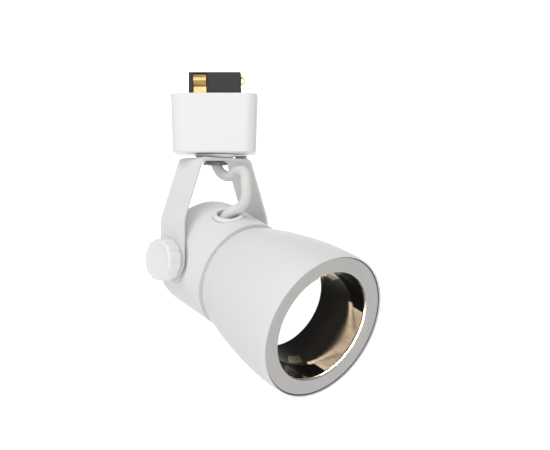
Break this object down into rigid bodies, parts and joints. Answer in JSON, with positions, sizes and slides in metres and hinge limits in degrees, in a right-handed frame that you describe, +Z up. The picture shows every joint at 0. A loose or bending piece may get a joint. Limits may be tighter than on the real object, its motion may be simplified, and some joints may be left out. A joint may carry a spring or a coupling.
{
  "type": "track spotlight",
  "caption": "White track spotlight: a bell-shaped lamp head with a dark anti-glare cone, held in a bent U-shaped yoke that swivels under a box-shaped track adapter.",
  "frame": {"origin": "where the swivel axis meets the adapter's shoulder, the face that seats against the track", "axes": "+Z up into the track along the swivel axis, +X along the track, -Y towards the side the head looks to; the head looks down and out between +X and -Y"},
  "size_m": [0.1084, 0.1056, 0.1492],
  "materials": {
    "white_plastic": "satin",
    "white_paint": "satin",
    "white_sleeve": "satin",
    "black_plastic": "satin",
    "satin_nickel": "satin",
    "black_chrome": "polished",
    "zinc": "satin",
    "spring_steel": "satin",
    "brass": "satin",
    "ceramic": "matte",
    "lamp_bowl": "gloss",
    "lit_glass": "gloss",
    "black_insulation": "satin",
    "white_insulation": "satin",
    "green_insulation": "satin"
  },
  "bodies": {
    "adapter": {"adapter_housing": "white_plastic", "adapter_cover": "white_plastic", "cover_screw_left": "zinc", "cover_screw_right": "zinc", "contact_block": "black_plastic", "contact_live": "brass", "contact_neutral": "brass", "contact_ground": "brass", "adapter_lead_live": "black_insulation", "adapter_lead_neutral": "white_insulation", "adapter_lead_ground": "green_insulation", "latch_spring": "spring_steel"},
    "latch": {"release_latch": "white_plastic"},
    "yoke": {"swivel_stem": "zinc", "stem_washer": "spring_steel", "stem_locknut": "zinc", "swivel_collar": "white_plastic", "yoke_bracket": "white_paint", "yoke_nut": "zinc", "supply_lead": "white_sleeve"},
    "head": {"rear_housing": "white_paint", "cable_grommet": "white_plastic", "pivot_screw": "zinc", "pivot_washer": "zinc", "friction_washer_knob": "black_plastic", "friction_washer_far": "black_plastic", "lamp_reflector": "lamp_bowl", "lamp_lens": "lit_glass", "lamp_capsule": "lit_glass", "lamp_base": "ceramic", "lamp_pin_live": "zinc", "lamp_pin_neutral": "zinc", "lamp_socket": "ceramic", "socket_screw_top": "zinc", "socket_screw_bottom": "zinc", "socket_bracket": "zinc", "bracket_screw_left": "zinc", "bracket_screw_right": "zinc", "earth_lug": "brass", "head_lead_live": "black_insulation", "head_lead_neutral": "white_insulation", "earth_lead": "green_insulation"},
    "bell": {"front_bell": "white_paint", "trim_ring": "satin_nickel", "anti_glare_baffle": "black_chrome"},
    "washer": {"knob_washer": "white_plastic"},
    "knob": {"tilt_knob": "white_plastic", "knob_stud": "zinc"}
  },
  "joints": [
    {"name": "latch_slide", "type": "slide", "parent": "adapter", "child": "latch", "axis": [0, 0, -1], "range_m": [0, 0.005], "stiffness_N_per_m": 300, "springref_m": -0.002, "deforming": ["latch_spring"]},
    {"name": "pan_swivel", "type": "hinge", "parent": "adapter", "child": "yoke", "pos_m": [0, 0, -0.0289], "axis": [0, 0, 1], "range_deg": [-266, 47]},
    {"name": "head_tilt", "type": "hinge", "parent": "yoke", "child": "head", "pos_m": [0, 0, -0.07785], "axis": [0.7314, 0.682, 0], "range_deg": [-20, 68], "deforming": ["supply_lead"]},
    {"name": "knob_travel", "type": "slide", "parent": "head", "child": "washer", "axis": [-0.7314, -0.682, 0], "range_m": [0, 0.0016]},
    {"name": "knob_turn", "type": "hinge", "parent": "washer", "child": "knob", "pos_m": [-0.02092, -0.01951, -0.07785], "axis": [-0.7314, -0.682, 0], "range_deg": [0, 720]},
    {"name": "bell_twist", "type": "hinge", "parent": "head", "child": "bell", "pos_m": [0.01684, -0.01806, -0.08748], "axis": [0.6354, -0.6814, -0.3633], "range_deg": [0, 30]}
  ],
  "couplings": [
    {"joint": "knob_turn", "follows": "knob_travel", "rad_per_m": 7854}
  ]
}
